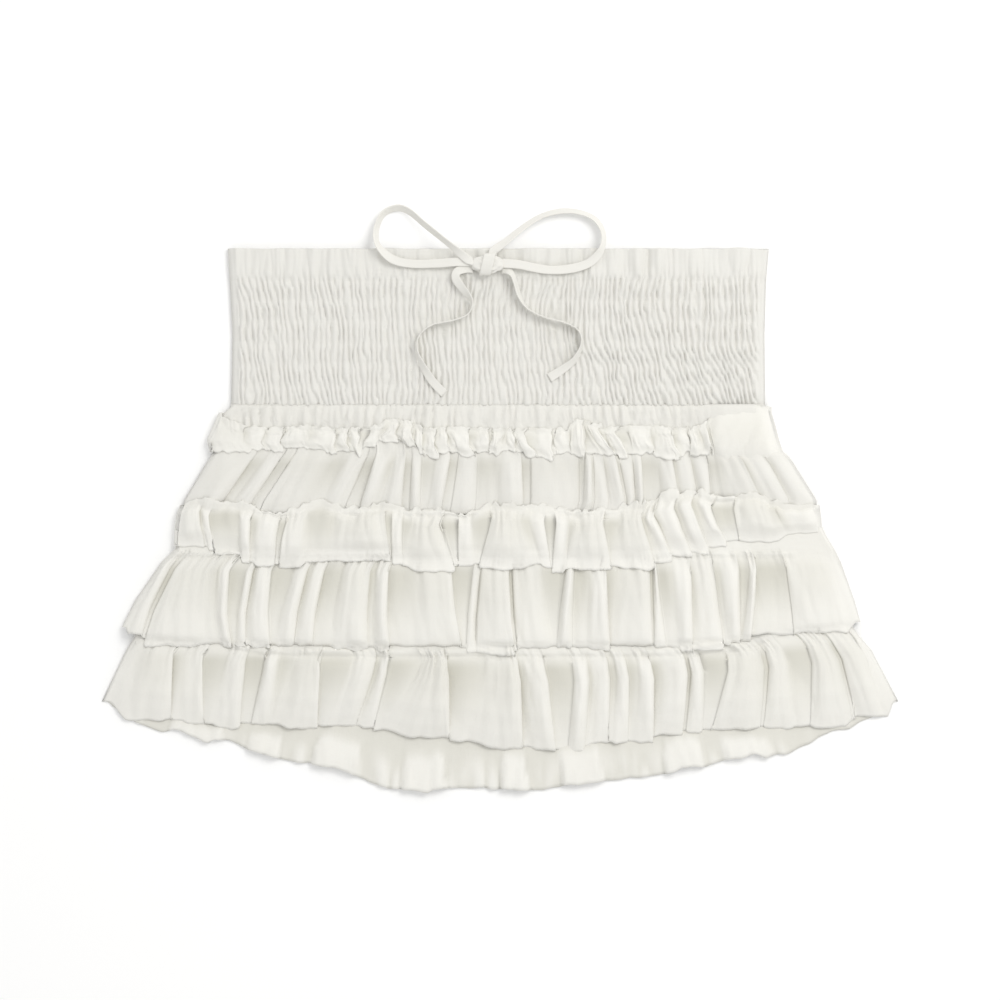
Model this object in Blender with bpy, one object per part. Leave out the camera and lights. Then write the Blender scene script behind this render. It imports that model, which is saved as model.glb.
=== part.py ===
"""Tiered ruffle skirt, laid flat with its front up.

Each tier is a flattened tube of cloth. Its front wall, with the folds, lies over its flat back wall, and its
upper edge is tucked under the tier above. X runs across the skirt, Y up to the waist, Z up from the surface.
Tables and sizes are in millimetres, and a wall is turned into metres as it is made.
"""
import math
from collections import namedtuple

import bmesh
import bpy
from mathutils import Vector

MM = 0.001

# Cloth.
WALL = 1.2  # gathered voile with its turnings
SEAM = 0.3  # between two pieces sewn edge to edge
LAYER = 1.5  # lift of a back wall that lies on another tier's back wall
FOLD_STEP = 6.0  # widest strip of a fold between two columns of points
ROLL = 2.5  # how far in from a side fold the front wall reaches its full height
MITRE_LIMIT = 1.25  # most that a wall's inner corner is moved out to keep its thickness
BACK_COLUMNS = 10  # columns of points across a plain back wall
WELD = 0.01

# Levels of the pieces' upper edges and seams, from the waist down.
HEADER_TOP = 174.8
CASING_LINE = 154.6
BAND_END = 73.8
FRILL_TOP = 59.4
FLOUNCE_TOP = 10.4
TIER_JOIN = 4.3

# Header frill and smocked band.
PUCKERS = 90
PUCKER_RISE = 1.7
PUCKER_WANDER = 0.35  # how far a pucker strays sideways, in half puckers
BAND_LEVEL = 4.2
HEADER_LEVEL = 5.6
HEADER_RISE = 1.5
HEADER_PLEATS = 15

# Drawstring tape and its bow.
TAPE_WIDTH = 6.4
TAPE_THICK = 1.2
TAPE_STEP = 8.0
KNOT_SIZE = (17.0, 9.4, 5.8)
KNOT_AT = (-8.0, 164.0, 10.6)
KNOT_ROUND = 2.2

Side = namedtuple("Side", "y left right")  # where the two side folds lie at a level
Edge = namedtuple("Edge", "x y")  # a point of an upper edge or a hem
Row = namedtuple("Row", "down valley swell back")  # share of the way down, front, share of the folds, back
Fold = namedtuple("Fold", "head left right rise")  # its left foot at the head, its feet at the hem, height
Level = namedtuple("Level", "y height pleats puckers")  # waistband: its front, shares of pleats and puckers
Route = namedtuple("Route", "x y z turn")  # a point of the tape and how far the tape is turned up on its edge

# Colours of the cream voile as each piece shows it, and their roughness.
BAND_CREAM = (0.76, 0.74, 0.67)
TIER_CREAM = (0.82, 0.80, 0.74)
FRILL_CREAM = (0.84, 0.82, 0.76)
TAPE_CREAM = (0.83, 0.80, 0.72)
CLOTH_ROUGHNESS = 0.9

WAIST_LEVELS = (
    Level(HEADER_TOP, HEADER_LEVEL, 1.0, 0.0),
    Level(164.6, HEADER_LEVEL, 0.9, 0.0),
    Level(CASING_LINE, BAND_LEVEL, 0.0, 0.3),
    Level(138.0, BAND_LEVEL, 0.0, 1.0),
    Level(117.0, BAND_LEVEL, 0.0, 1.0),
    Level(95.0, BAND_LEVEL, 0.0, 1.0),
    Level(BAND_END + SEAM / 2, BAND_LEVEL, 0.0, 0.4),
)
WAIST_SIDES = (
    Side(174.8, -174.6, 172.4),
    Side(154.6, -173.4, 170.6),
    Side(120.0, -171.6, 169.6),
    Side(73.8, -172.4, 170.0),
)

TOP_TIER_SIDES = (
    Side(73.8, -172.4, 170.0),
    Side(66.0, -180.5, 173.0),
    Side(46.0, -182.4, 176.8),
    Side(37.0, -188.5, 186.0),
    Side(13.6, -203.0, 200.8),
    Side(4.3, -204.6, 202.2),
)
TOP_TIER_ROWS = (
    Row(0.00, 6.0, 0.00, 0.0),
    Row(0.11, 6.6, 0.00, LAYER),
    Row(0.40, 7.0, 0.00, LAYER),
    Row(0.52, 7.0, 0.00, LAYER),
    Row(0.66, 5.6, 0.85, LAYER),
    Row(0.84, 5.8, 1.00, LAYER),
    Row(0.90, 7.4, 0.00, LAYER),
    Row(1.00, 7.4, 0.00, LAYER),
)
TOP_TIER_FOLDS = (
    Fold(-183, -205, -178, 7),
    Fold(-150, -178, -159, 6),
    Fold(-134, -159, -121, 8),
    Fold(-101, -121, -95, 8),
    Fold(-82, -95, -81, 5),
    Fold(-69, -81, -61, 6),
    Fold(-60, -61, -46, 5),
    Fold(-47, -46, -32, 5),
    Fold(-33, -32, -13, 2),
    Fold(-8, -8, 19, 9),
    Fold(18, 19, 52, 3),
    Fold(51, 52, 64, 5),
    Fold(60, 64, 87, 7),
    Fold(80, 87, 97, 3),
    Fold(96, 97, 118, 7),
    Fold(115, 118, 142, 6),
    Fold(136, 142, 174, 7),
    Fold(155, 174, 202, 6),
)

FRILL_SIDES = (
    Side(59.4, -184.6, 177.0),
    Side(52.0, -188.0, 178.8),
    Side(44.4, -186.0, 181.4),
)
FRILL_HEM = (
    Edge(-186, 44.4),
    Edge(-150, 40.0),
    Edge(-60, 38.6),
    Edge(60, 37.6),
    Edge(130, 39.0),
    Edge(181, 46.0),
)
FRILL_ROWS = (
    Row(0.00, 8.7, 0.15, 0.0),
    Row(0.18, 8.7, 0.00, 0.0),
    Row(0.55, 9.0, 0.70, 0.0),
    Row(1.00, 9.4, 1.00, 0.0),
)
FRILL_WAVE = 12.6
FRILL_RISE = 4.2

FLOUNCE_SIDES = (
    Side(10.4, -207.6, 204.6),
    Side(-3.7, -208.4, 206.2),
    Side(-16.0, -208.4, 206.2),
)
FLOUNCE_HEM = (
    Edge(-208, -16.0),
    Edge(-187, -16.0),
    Edge(-166, -26.0),
    Edge(-134, -29.0),
    Edge(-112, -25.0),
    Edge(-70, -26.0),
    Edge(-62, -32.0),
    Edge(-30, -32.5),
    Edge(24, -29.0),
    Edge(38, -32.5),
    Edge(101, -28.6),
    Edge(122, -22.0),
    Edge(177, -12.6),
    Edge(206, -3.7),
)
FLOUNCE_ROWS = (
    Row(0.00, 9.4, 0.12, 0.0),
    Row(0.15, 9.1, 0.00, 0.0),
    Row(0.38, 9.7, 0.60, 0.0),
    Row(0.70, 10.8, 1.00, 0.0),
    Row(1.00, 11.2, 1.00, 0.0),
)
FLOUNCE_FOLDS = (
    Fold(-208, -208, -190, 6),
    Fold(-190, -190, -178, 4),
    Fold(-172, -168, -145, 8),
    Fold(-143, -143, -123, 7),
    Fold(-115, -114, -70, 9),
    Fold(-64, -62, -29, 9),
    Fold(-28, -27, -15, 4),
    Fold(-11, -13, 24, 10),
    Fold(26, 25, 34, 3),
    Fold(35, 34, 71, 10),
    Fold(68, 71, 95, 8),
    Fold(90, 95, 110, 5),
    Fold(108, 110, 127, 6),
    Fold(124, 127, 142, 5),
    Fold(150, 153, 190, 7),
    Fold(187, 190, 206, 4),
)

MIDDLE_SIDES = (
    Side(3.9, -204.6, 201.4),
    Side(-17.5, -206.0, 208.6),
    Side(-26.0, -217.0, 217.0),
    Side(-50.0, -233.6, 227.0),
    Side(-67.7, -242.4, 232.0),
)
MIDDLE_HEM = (
    Edge(-242, -67.7),
    Edge(-232, -76.0),
    Edge(-182, -81.0),
    Edge(-122, -79.4),
    Edge(-70, -82.4),
    Edge(-23, -78.5),
    Edge(-14, -85.6),
    Edge(12, -86.2),
    Edge(36, -79.4),
    Edge(58, -85.0),
    Edge(72, -79.4),
    Edge(126, -83.4),
    Edge(165, -76.0),
    Edge(210, -71.4),
    Edge(232, -64.5),
)
MIDDLE_ROWS = (
    Row(0.00, 7.0, 0.00, LAYER),
    Row(0.30, 7.4, 0.00, LAYER),
    Row(0.42, 7.6, 0.08, LAYER),
    Row(0.58, 5.6, 0.85, 0.0),
    Row(0.80, 5.8, 1.00, 0.0),
    Row(0.88, 9.0, 0.85, 0.0),
    Row(1.00, 9.0, 0.90, 0.0),
)
MIDDLE_FOLDS = (
    Fold(-206, -242, -228, 6),
    Fold(-192, -228, -182, 10),
    Fold(-166, -182, -170, 7),
    Fold(-154, -169, -159, 4),
    Fold(-144, -159, -145, 6),
    Fold(-130, -145, -122, 8),
    Fold(-100, -108, -70, 10),
    Fold(-54, -56, -23, 10),
    Fold(-16, -14, 36, 11),
    Fold(34, 37, 72, 9),
    Fold(67, 72, 99, 9),
    Fold(96, 108, 126, 7),
    Fold(112, 126, 141, 5),
    Fold(126, 142, 165, 9),
    Fold(160, 184, 208, 8),
    Fold(182, 208, 232, 6),
)

BOTTOM_SIDES = (
    Side(-62.0, -230.0, 222.0),
    Side(-74.7, -234.6, 231.0),
    Side(-82.4, -239.6, 238.0),
    Side(-115.7, -255.6, 255.6),
)
BOTTOM_HEAD = (
    Edge(-256, -68.4),
    Edge(-205, -73.0),
    Edge(-100, -75.6),
    Edge(100, -75.6),
    Edge(190, -70.0),
    Edge(256, -62.0),
)
BOTTOM_HEM = (
    Edge(-256, -115.7),
    Edge(-230, -123.4),
    Edge(-192, -128.5),
    Edge(-145, -130.4),
    Edge(-77, -133.0),
    Edge(-32, -143.8),
    Edge(14, -147.0),
    Edge(58, -148.2),
    Edge(66, -142.6),
    Edge(99, -142.6),
    Edge(106, -136.4),
    Edge(193, -132.4),
    Edge(230, -131.6),
    Edge(256, -115.7),
)
BOTTOM_BACK_HEM = (
    Edge(-256, -115.7),
    Edge(-234, -131.4),
    Edge(-192, -141.6),
    Edge(-141, -152.0),
    Edge(-96, -160.2),
    Edge(-74, -171.0),
    Edge(-48, -174.8),
    Edge(22, -172.6),
    Edge(64, -166.9),
    Edge(118, -157.0),
    Edge(192, -147.6),
    Edge(224, -135.0),
    Edge(256, -115.7),
)
BOTTOM_ROWS = (
    Row(0.00, 7.0, 0.00, LAYER),
    Row(0.18, 7.0, 0.00, LAYER),
    Row(0.36, 4.8, 0.75, 0.0),
    Row(0.68, 4.4, 1.00, 0.0),
    Row(1.00, 4.6, 1.00, 0.0),
)
BOTTOM_FOLDS = (
    Fold(-238, -256, -229, 8),
    Fold(-214, -229, -212, 6),
    Fold(-188, -202, -190, 5),
    Fold(-168, -178, -164, 6),
    Fold(-154, -161, -145, 7),
    Fold(-128, -138, -116, 9),
    Fold(-92, -102, -80, 8),
    Fold(-74, -77, -32, 12),
    Fold(-20, -20, 15, 12),
    Fold(14, 15, 36, 8),
    Fold(40, 43, 58, 7),
    Fold(54, 58, 72, 6),
    Fold(66, 72, 85, 5),
    Fold(78, 85, 99, 6),
    Fold(92, 99, 120, 8),
    Fold(110, 120, 133, 6),
    Fold(128, 138, 170, 9),
    Fold(160, 173, 193, 8),
    Fold(184, 200, 230, 9),
    Fold(208, 230, 256, 8),
)
BACK_HEM_STEP = 15.0
BACK_WAVE = 52.0
BACK_WAVE_RISE = 2.6

LEFT_LOOP = (
    Route(-16.9, 166.6, 12.0, 0),
    Route(-20.4, 167.0, 12.2, 10),
    Route(-32.0, 176.4, 12.0, 40),
    Route(-48.0, 189.6, 7.0, 45),
    Route(-58.0, 198.2, 4.2, 40),
    Route(-66.0, 200.8, 3.4, 35),
    Route(-74.9, 196.9, 3.4, 40),
    Route(-79.2, 187.0, 5.4, 45),
    Route(-78.0, 176.5, 10.4, 40),
    Route(-69.0, 167.6, 9.4, 10),
    Route(-56.3, 164.6, 8.8, 0),
    Route(-40.3, 164.8, 8.8, 0),
    Route(-28.0, 165.6, 10.2, 0),
    Route(-16.9, 165.6, 10.3, 0),
)
RIGHT_LOOP = (
    Route(-4.4, 169.1, 10.6, 0),
    Route(-4.2, 172.6, 10.9, 5),
    Route(3.8, 178.6, 10.6, 30),
    Route(13.6, 187.0, 7.0, 40),
    Route(25.6, 195.0, 4.2, 40),
    Route(38.0, 198.6, 3.4, 35),
    Route(50.0, 198.2, 3.4, 35),
    Route(60.6, 193.8, 3.8, 40),
    Route(66.0, 185.0, 5.8, 45),
    Route(65.2, 174.6, 10.4, 40),
    Route(58.0, 165.8, 9.6, 10),
    Route(46.0, 161.6, 8.8, 0),
    Route(30.0, 160.8, 8.8, 0),
    Route(12.0, 164.0, 10.2, 0),
    Route(0.9, 164.8, 10.3, 0),
)
LEFT_TAIL = (
    Route(-16.9, 161.4, 8.3, 0),
    Route(-19.6, 160.8, 8.4, -10),
    Route(-23.4, 156.8, 10.2, -50),
    Route(-23.2, 151.6, 10.6, -60),
    Route(-18.0, 141.6, 9.8, -70),
    Route(-20.0, 132.4, 9.8, -80),
    Route(-30.0, 128.4, 9.8, -85),
    Route(-43.0, 125.6, 9.8, -85),
    Route(-51.6, 118.6, 9.8, -85),
    Route(-53.4, 109.4, 9.8, -75),
    Route(-49.6, 99.8, 9.2, -50),
    Route(-43.2, 89.6, 7.8, -15),
    Route(-35.6, 81.6, 6.9, 0),
)
RIGHT_TAIL = (
    Route(0.9, 161.0, 8.3, 0),
    Route(4.0, 160.8, 8.7, 10),
    Route(7.8, 157.6, 10.2, 50),
    Route(9.8, 152.6, 10.6, 60),
    Route(12.6, 143.6, 9.8, 65),
    Route(18.0, 135.6, 9.8, 85),
    Route(28.4, 130.4, 9.8, 85),
    Route(40.0, 127.4, 9.8, 85),
    Route(49.6, 122.4, 9.8, 85),
    Route(52.4, 114.0, 9.8, 80),
    Route(48.2, 104.0, 9.4, 55),
    Route(40.4, 97.4, 8.2, 20),
    Route(31.4, 91.7, 6.9, 0),
)


def clear_scene():
    for thing in list(bpy.data.objects):
        bpy.data.objects.remove(thing)


def cloth(name, colour):
    material = bpy.data.materials.new(name)
    material.use_nodes = True
    shader = material.node_tree.nodes["Principled BSDF"]
    shader.inputs["Base Color"].default_value = (*colour, 1)
    shader.inputs["Roughness"].default_value = CLOTH_ROUGHNESS
    shader.inputs["Metallic"].default_value = 0
    return material


def between(a, b, share):
    return a + (b - a) * share


def along(table, key, at, wanted):
    """The wanted column of a table at a value of its key column, straight between two rows."""
    rows = sorted(table, key=lambda row: getattr(row, key))
    low, high = rows[0], rows[-1]
    for low, high in zip(rows, rows[1:]):
        if at <= getattr(high, key):
            break
    span = getattr(high, key) - getattr(low, key)
    share = min(max((at - getattr(low, key)) / span, 0), 1)
    return between(getattr(low, wanted), getattr(high, wanted), share)


def bulge(share):
    """Height of a rounded fold across its width, from 0 at its feet to 1."""
    return max(math.sin(math.pi * share), 0) ** 0.7


def level_edge(y):
    return (Edge(-300, y), Edge(300, y))


def fold_columns(folds):
    """The columns of points across a front: hem place, head place and fold height of each."""
    columns = []
    for fold, following in zip(folds, folds[1:] + (None,)):
        strips = max(3, round((fold.right - fold.left) / FOLD_STEP))
        for strip in range(strips):
            share = strip / strips
            columns.append((between(fold.left, fold.right, share), fold.rise * bulge(share)))
        if following is None or following.left > fold.right:
            columns.append((fold.right, 0))
    return columns


def head_place(folds, sides, y, at):
    """Where a column that ends at a place of the hem starts at the head."""
    first, last = folds[0], folds[-1]
    left, right = along(sides, "y", y, "left"), along(sides, "y", y, "right")
    ends = (Fold(left, first.left, 0, 0),) + folds[1:] + (Fold(right, last.right, 0, 0),)
    return along(ends, "left", at, "head")


def corners_at(sides, head, hem, down):
    """The side folds of a row: the level at which each edge reaches it, and its place there."""
    left_y = between(head[0].y, hem[0].y, down)
    right_y = between(head[-1].y, hem[-1].y, down)
    left = Vector((along(sides, "y", left_y, "left"), left_y, 0))
    right = Vector((along(sides, "y", right_y, "right"), right_y, 0))
    return left, right


def front_line(row, left, right, columns, folds, sides, head, hem):
    """The front wall of one row, from just inside its left side fold to just inside its right one."""
    foot, end = columns[0][0], columns[-1][0]
    starts = [head_place(folds, sides, head[0].y, at) for at, rise in columns]
    first, last = left.x + ROLL, right.x - ROLL
    line = []
    for (at, rise), start in zip(columns, starts):
        across = between((start - starts[0]) / (starts[-1] - starts[0]), (at - foot) / (end - foot), row.down)
        y = between(along(head, "x", at, "y"), along(hem, "x", at, "y"), row.down)
        line.append(Vector((between(first, last, across), y, row.valley + rise * row.swell)))
    return line


def back_line(row, left, right, count, head, hem, lift):
    """The back wall of one row, from its right side fold to its left one."""
    line = []
    for step in range(count):
        share = (step + 0.5) / count
        at = between(hem[-1].x, hem[0].x, share)
        x = between(right.x - ROLL, left.x + ROLL, step / (count - 1))
        y = between(along(head, "x", at, "y"), along(hem, "x", at, "y"), row.down)
        y_end = right.y if share < 0.5 else left.y
        line.append(Vector((x, y if 0 < step < count - 1 else y_end, row.back + lift(step, row.down))))
    return line


def inward(ring, wall):
    """A ring moved in by the wall, square to its own line in X and Z."""
    moved = []
    for before, here, after in zip(ring[-1:] + ring[:-1], ring, ring[1:] + ring[:1]):
        first, second = here - before, after - here
        normals = [Vector((side.z, 0, -side.x)).normalized() for side in (first, second)]
        middle = (normals[0] + normals[1]).normalized()
        reach = min(1 / max(middle.dot(normals[0]), 0.1), MITRE_LIMIT)
        moved.append(here + middle * wall * reach)
    return moved


def sewn_wall(name, outer, inner, material):
    """A closed wall: a grid bent into a tube, down its outer rings and back up its inner ones."""
    rings = outer + inner[::-1]
    rows, columns = len(rings), len(rings[0])
    bm = bmesh.new()
    bmesh.ops.create_grid(bm, x_segments=columns, y_segments=rows, size=1)
    bm.verts.ensure_lookup_table()
    for vertex in bm.verts:
        row, column = divmod(vertex.index, columns + 1)
        vertex.co = rings[row % rows][column % columns] * MM
    bmesh.ops.remove_doubles(bm, verts=bm.verts, dist=WELD * MM)
    bmesh.ops.recalc_face_normals(bm, faces=bm.faces)
    mesh = bpy.data.meshes.new(name)
    bm.to_mesh(mesh)
    bm.free()
    mesh.materials.append(material)
    mesh.shade_smooth()
    piece = bpy.data.objects.new(name, mesh)
    bpy.context.collection.objects.link(piece)
    return piece


def flat_back(step, down):
    return 0


def tier(name, colour, sides, head, hem, rows, folds, back_hem=None, back_count=BACK_COLUMNS, lift=flat_back):
    """One tier: a front wall with folds over a flat back wall, joined at two rolled side folds."""
    columns = fold_columns(folds)
    rings = []
    for row in rows:
        left, right = corners_at(sides, head, hem, row.down)
        left.z = right.z = (row.valley + row.back) / 2
        front = front_line(row, left, right, columns, folds, sides, head, hem)
        front[0].y, front[-1].y = left.y, right.y
        back = back_line(row, left, right, back_count, head, back_hem or hem, lift)
        rings.append([left] + front + [right] + back)
    inner = [inward(ring, WALL) for ring in rings]
    return sewn_wall(name, rings, inner, cloth(name, colour))


def header_wave(share):
    """Soft uneven pleats of the header frill, from 0 to 1."""
    turn = 2 * math.pi * share * HEADER_PLEATS
    return 0.5 + 0.28 * math.sin(turn + 1.4 * math.sin(turn * 0.31)) + 0.22 * math.sin(turn * 2.3 + 1)


def waist_ring(level):
    """One ring of the waistband, round its front and back."""
    y, half = level.y, level.height / 2
    left, right = along(WAIST_SIDES, "y", y, "left"), along(WAIST_SIDES, "y", y, "right")
    ring = [Vector((left, y, half))]
    columns = 2 * PUCKERS
    for column in range(columns + 1):
        inside = 0 < column < columns
        stray = PUCKER_WANDER * math.sin(0.13 * column + 0.16 * y) * level.puckers * inside
        share = (column + stray) / columns
        pucker = PUCKER_RISE * level.puckers * (column % 2)
        pleat = HEADER_RISE * level.pleats * header_wave(share)
        ring.append(Vector((between(left + ROLL, right - ROLL, share), y, level.height + pucker + pleat)))
    ring.append(Vector((right, y, half)))
    for column in range(BACK_COLUMNS):
        ring.append(Vector((between(right - ROLL, left + ROLL, column / (BACK_COLUMNS - 1)), y, 0)))
    return ring


def waistband():
    """Header frill and smocked band, one strip: puckers stand on the outside over a plain inside."""
    plain = [WAIST_LEVELS[place]._replace(puckers=0) for place in (0, 2, -1)]
    outer = [waist_ring(level) for level in WAIST_LEVELS]
    inner = [inward(waist_ring(level), WALL) for level in plain]
    return sewn_wall("waistband", outer, inner, cloth("waistband", BAND_CREAM))


def top_tier():
    head, hem = level_edge(BAND_END - SEAM / 2), level_edge(TIER_JOIN)
    return tier("top_tier", TIER_CREAM, TOP_TIER_SIDES, head, hem, TOP_TIER_ROWS, TOP_TIER_FOLDS)


def narrow_frill():
    """The narrow frill, in waves uneven in width and height."""
    waves = []
    start, stop = FRILL_HEM[0].x, FRILL_HEM[-1].x
    while start < stop:
        step = len(waves)
        wide = FRILL_WAVE * (1 + 0.28 * math.sin(2.4 * step) + 0.12 * math.sin(5.1 * step))
        end = start + wide if start + 1.6 * wide < stop else stop
        waves.append(Fold(start, start, end, FRILL_RISE * (1 + 0.25 * math.sin(1.7 * step + 1))))
        start = end
    head = level_edge(FRILL_TOP)
    return tier("narrow_frill", FRILL_CREAM, FRILL_SIDES, head, FRILL_HEM, FRILL_ROWS, tuple(waves))


def short_flounce():
    head = level_edge(FLOUNCE_TOP)
    return tier("short_flounce", FRILL_CREAM, FLOUNCE_SIDES, head, FLOUNCE_HEM, FLOUNCE_ROWS, FLOUNCE_FOLDS)


def middle_tier():
    head = level_edge(TIER_JOIN - SEAM)
    return tier("middle_tier", TIER_CREAM, MIDDLE_SIDES, head, MIDDLE_HEM, MIDDLE_ROWS, MIDDLE_FOLDS)


def bottom_tier():
    """The bottom tier: its back hem hangs lower than its front hem and lifts in soft waves at its edge."""
    across = BOTTOM_HEM[-1].x - BOTTOM_HEM[0].x
    count = round(across / BACK_HEM_STEP)

    def lift(step, down):
        share = step / (count - 1)
        wave = math.sin(2 * math.pi * share * across / BACK_WAVE + 1.3 * math.sin(9 * share))
        return BACK_WAVE_RISE * max(wave, 0) * (down == 1) * math.sin(math.pi * share)

    return tier(
        "bottom_tier", TIER_CREAM, BOTTOM_SIDES, BOTTOM_HEAD, BOTTOM_HEM, BOTTOM_ROWS, BOTTOM_FOLDS,
        back_hem=BOTTOM_BACK_HEM, back_count=count, lift=lift,
    )


def curve_through(a, b, c, d, t):
    """A value a share t of the way from b to c, on a smooth curve that comes from a and goes on to d."""
    bend = (2 * a - 5 * b + 4 * c - d) * t**2 + (3 * b - a - 3 * c + d) * t**3
    return b + 0.5 * ((c - a) * t + bend)


def smooth_route(route):
    """Points about a tape step apart on a smooth curve through a route's own points."""
    ends = (route[0],) + route + (route[-1],)
    points = []
    for before, start, end, after in zip(ends, ends[1:], ends[2:], ends[3:]):
        length = math.dist(start[:3], end[:3])
        steps = max(1, round(length / TAPE_STEP))
        for step in range(steps):
            point = (curve_through(*values, step / steps) for values in zip(before, start, end, after))
            points.append(Route(*point))
    return points + [route[-1]]


def tape(name, route):
    """A stretch of flat tape along its route."""
    points = smooth_route(route)
    curve = bpy.data.curves.new(name, "CURVE")
    curve.dimensions = "3D"
    curve.twist_mode = "Z_UP"
    curve.bevel_depth = TAPE_THICK / 2 * MM
    curve.bevel_resolution = 2
    curve.extrude = (TAPE_WIDTH - TAPE_THICK) / 2 * MM
    curve.use_fill_caps = True
    spline = curve.splines.new("POLY")
    spline.points.add(len(points) - 1)
    for spot, point in zip(spline.points, points):
        spot.co = (point.x * MM, point.y * MM, point.z * MM, 1)
        spot.tilt = math.radians(90 - point.turn)
    curve.materials.append(cloth(name, TAPE_CREAM))
    piece = bpy.data.objects.new(name, curve)
    bpy.context.collection.objects.link(piece)
    return piece


def drawstring_knot():
    """The bow's knot: a small pillow of wrapped tape."""
    bm = bmesh.new()
    bmesh.ops.create_cube(bm, size=1)
    bmesh.ops.scale(bm, vec=Vector(KNOT_SIZE) * MM, verts=bm.verts)
    bmesh.ops.bevel(
        bm, geom=bm.edges[:], offset=KNOT_ROUND * MM, segments=3, profile=0.5, affect="EDGES", material=-1,
    )
    mesh = bpy.data.meshes.new("drawstring_knot")
    bm.to_mesh(mesh)
    bm.free()
    mesh.materials.append(cloth("drawstring_knot", TAPE_CREAM))
    mesh.shade_smooth()
    piece = bpy.data.objects.new("drawstring_knot", mesh)
    piece.location = Vector(KNOT_AT) * MM
    bpy.context.collection.objects.link(piece)
    return piece


clear_scene()
waistband()
top_tier()
narrow_frill()
short_flounce()
middle_tier()
bottom_tier()
drawstring_knot()
tape("drawstring_left_loop", LEFT_LOOP)
tape("drawstring_right_loop", RIGHT_LOOP)
tape("drawstring_left_tail", LEFT_TAIL)
tape("drawstring_right_tail", RIGHT_TAIL)
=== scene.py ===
"""Tiered ruffle skirt of ivory cotton voile, laid flat, front up: its looks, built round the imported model."""
import math
from collections import namedtuple

import bmesh
import bpy
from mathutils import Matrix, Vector, noise
from mathutils.bvhtree import BVHTree


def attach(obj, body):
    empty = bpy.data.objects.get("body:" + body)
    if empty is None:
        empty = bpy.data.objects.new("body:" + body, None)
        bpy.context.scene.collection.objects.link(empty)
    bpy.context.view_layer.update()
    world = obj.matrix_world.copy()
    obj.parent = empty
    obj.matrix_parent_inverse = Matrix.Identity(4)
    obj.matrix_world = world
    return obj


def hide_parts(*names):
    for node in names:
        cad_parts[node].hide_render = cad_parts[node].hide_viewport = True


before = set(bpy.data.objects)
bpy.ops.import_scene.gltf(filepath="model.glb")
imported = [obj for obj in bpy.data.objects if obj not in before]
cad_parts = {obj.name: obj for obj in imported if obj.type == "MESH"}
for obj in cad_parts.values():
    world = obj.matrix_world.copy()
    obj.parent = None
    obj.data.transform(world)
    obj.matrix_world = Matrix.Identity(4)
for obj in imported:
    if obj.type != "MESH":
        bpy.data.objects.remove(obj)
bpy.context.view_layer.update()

# The table and the studio.
# The skirt lies on a smooth, nearly white table. A large soft lamp stands to the upper right, so that each
# fold is bright on its right side, and an even white room fills the shadows.
VIEW_WIDTH = 0.640
VIEW_MIDDLE = (0.0, 0.0136)
CLOTH_LEVEL = 0.006  # the level where the view is as wide as that
LENS, SENSOR = 100, 36
TABLE_SIZE = 4.0
TABLE_DROP = 0.0004  # keeps the table clear of the cloth that lies on it
TABLE_TINT = (0.97, 0.97, 0.965)
LAMP_PLACE = (0.72, 0.74, 1.32)
LAMP_SIZE = 0.8
LAMP_POWER = 9.5
LAMP_TINT = (1.0, 0.99, 0.97)
ROOM_LIGHT = 0.86


def placed(name, data):
    """A new object of the scene."""
    made = bpy.data.objects.new(name, data)
    bpy.context.collection.objects.link(made)
    return made


def mesh_of(name, bm):
    """The mesh that a bmesh has made, which ends the bmesh."""
    mesh = bpy.data.meshes.new(name)
    bm.to_mesh(mesh)
    bm.free()
    return mesh


camera = placed("camera", bpy.data.cameras.new("camera"))
camera.data.lens = LENS
camera.data.sensor_width = SENSOR
camera.location = (*VIEW_MIDDLE, CLOTH_LEVEL + VIEW_WIDTH * LENS / SENSOR)
bpy.context.scene.camera = camera

lamp = placed("soft_lamp", bpy.data.lights.new("soft_lamp", "AREA"))
lamp.data.shape = "DISK"
lamp.data.size = LAMP_SIZE
lamp.data.energy = LAMP_POWER
lamp.data.color = LAMP_TINT
lamp.location = LAMP_PLACE
lamp.rotation_euler = (-Vector(LAMP_PLACE)).to_track_quat("-Z", "Y").to_euler()

room = bpy.data.worlds.new("white_room")
room.use_nodes = True
background = room.node_tree.nodes["Background"]
background.inputs["Color"].default_value = (1, 1, 1, 1)
background.inputs["Strength"].default_value = ROOM_LIGHT
bpy.context.scene.world = room
bpy.context.scene.view_settings.view_transform = "Standard"

table_bm = bmesh.new()
bmesh.ops.create_grid(table_bm, x_segments=1, y_segments=1, size=TABLE_SIZE / 2)
bmesh.ops.translate(table_bm, vec=(0, 0, -TABLE_DROP), verts=table_bm.verts)
table = placed("table", mesh_of("table", table_bm))
table_finish = bpy.data.materials.new("pale_table")
table_finish.use_nodes = True
table_shader = table_finish.node_tree.nodes["Principled BSDF"]
table_shader.inputs["Base Color"].default_value = (*TABLE_TINT, 1)
table_shader.inputs["Roughness"].default_value = 0.9
table.data.materials.append(table_finish)

# Drawstring.
# A narrow tie of the skirt's own voile, folded lengthwise, stitched along its edges and pressed flat. It
# comes out of the casing at the centre front and is tied in a bow: two loops, and two tails with cut ends.
MM = 0.001  # the sizes and places of cloth are in millimetres
TAPE_WIDTH = 5.8
TAPE_THICK = 1.1
TAPE_SIDES = 20
TAPE_STEP = 1.6
TAPE_HOLLOW = 0.45  # how much thinner the tape is along its middle than at its stitched edges
TAPE_SWAY = 5  # most that it rocks about its own line, in degrees
TAPE_TINT = (0.81, 0.80, 0.762)
TAPE_CUT = (0.014, 0.18)  # metres, as each cut is


def each(kind, rows):
    """One of a kind, such as a fold or a point of a route, for each row of numbers."""
    return tuple(kind(*row) for row in rows)


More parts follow.
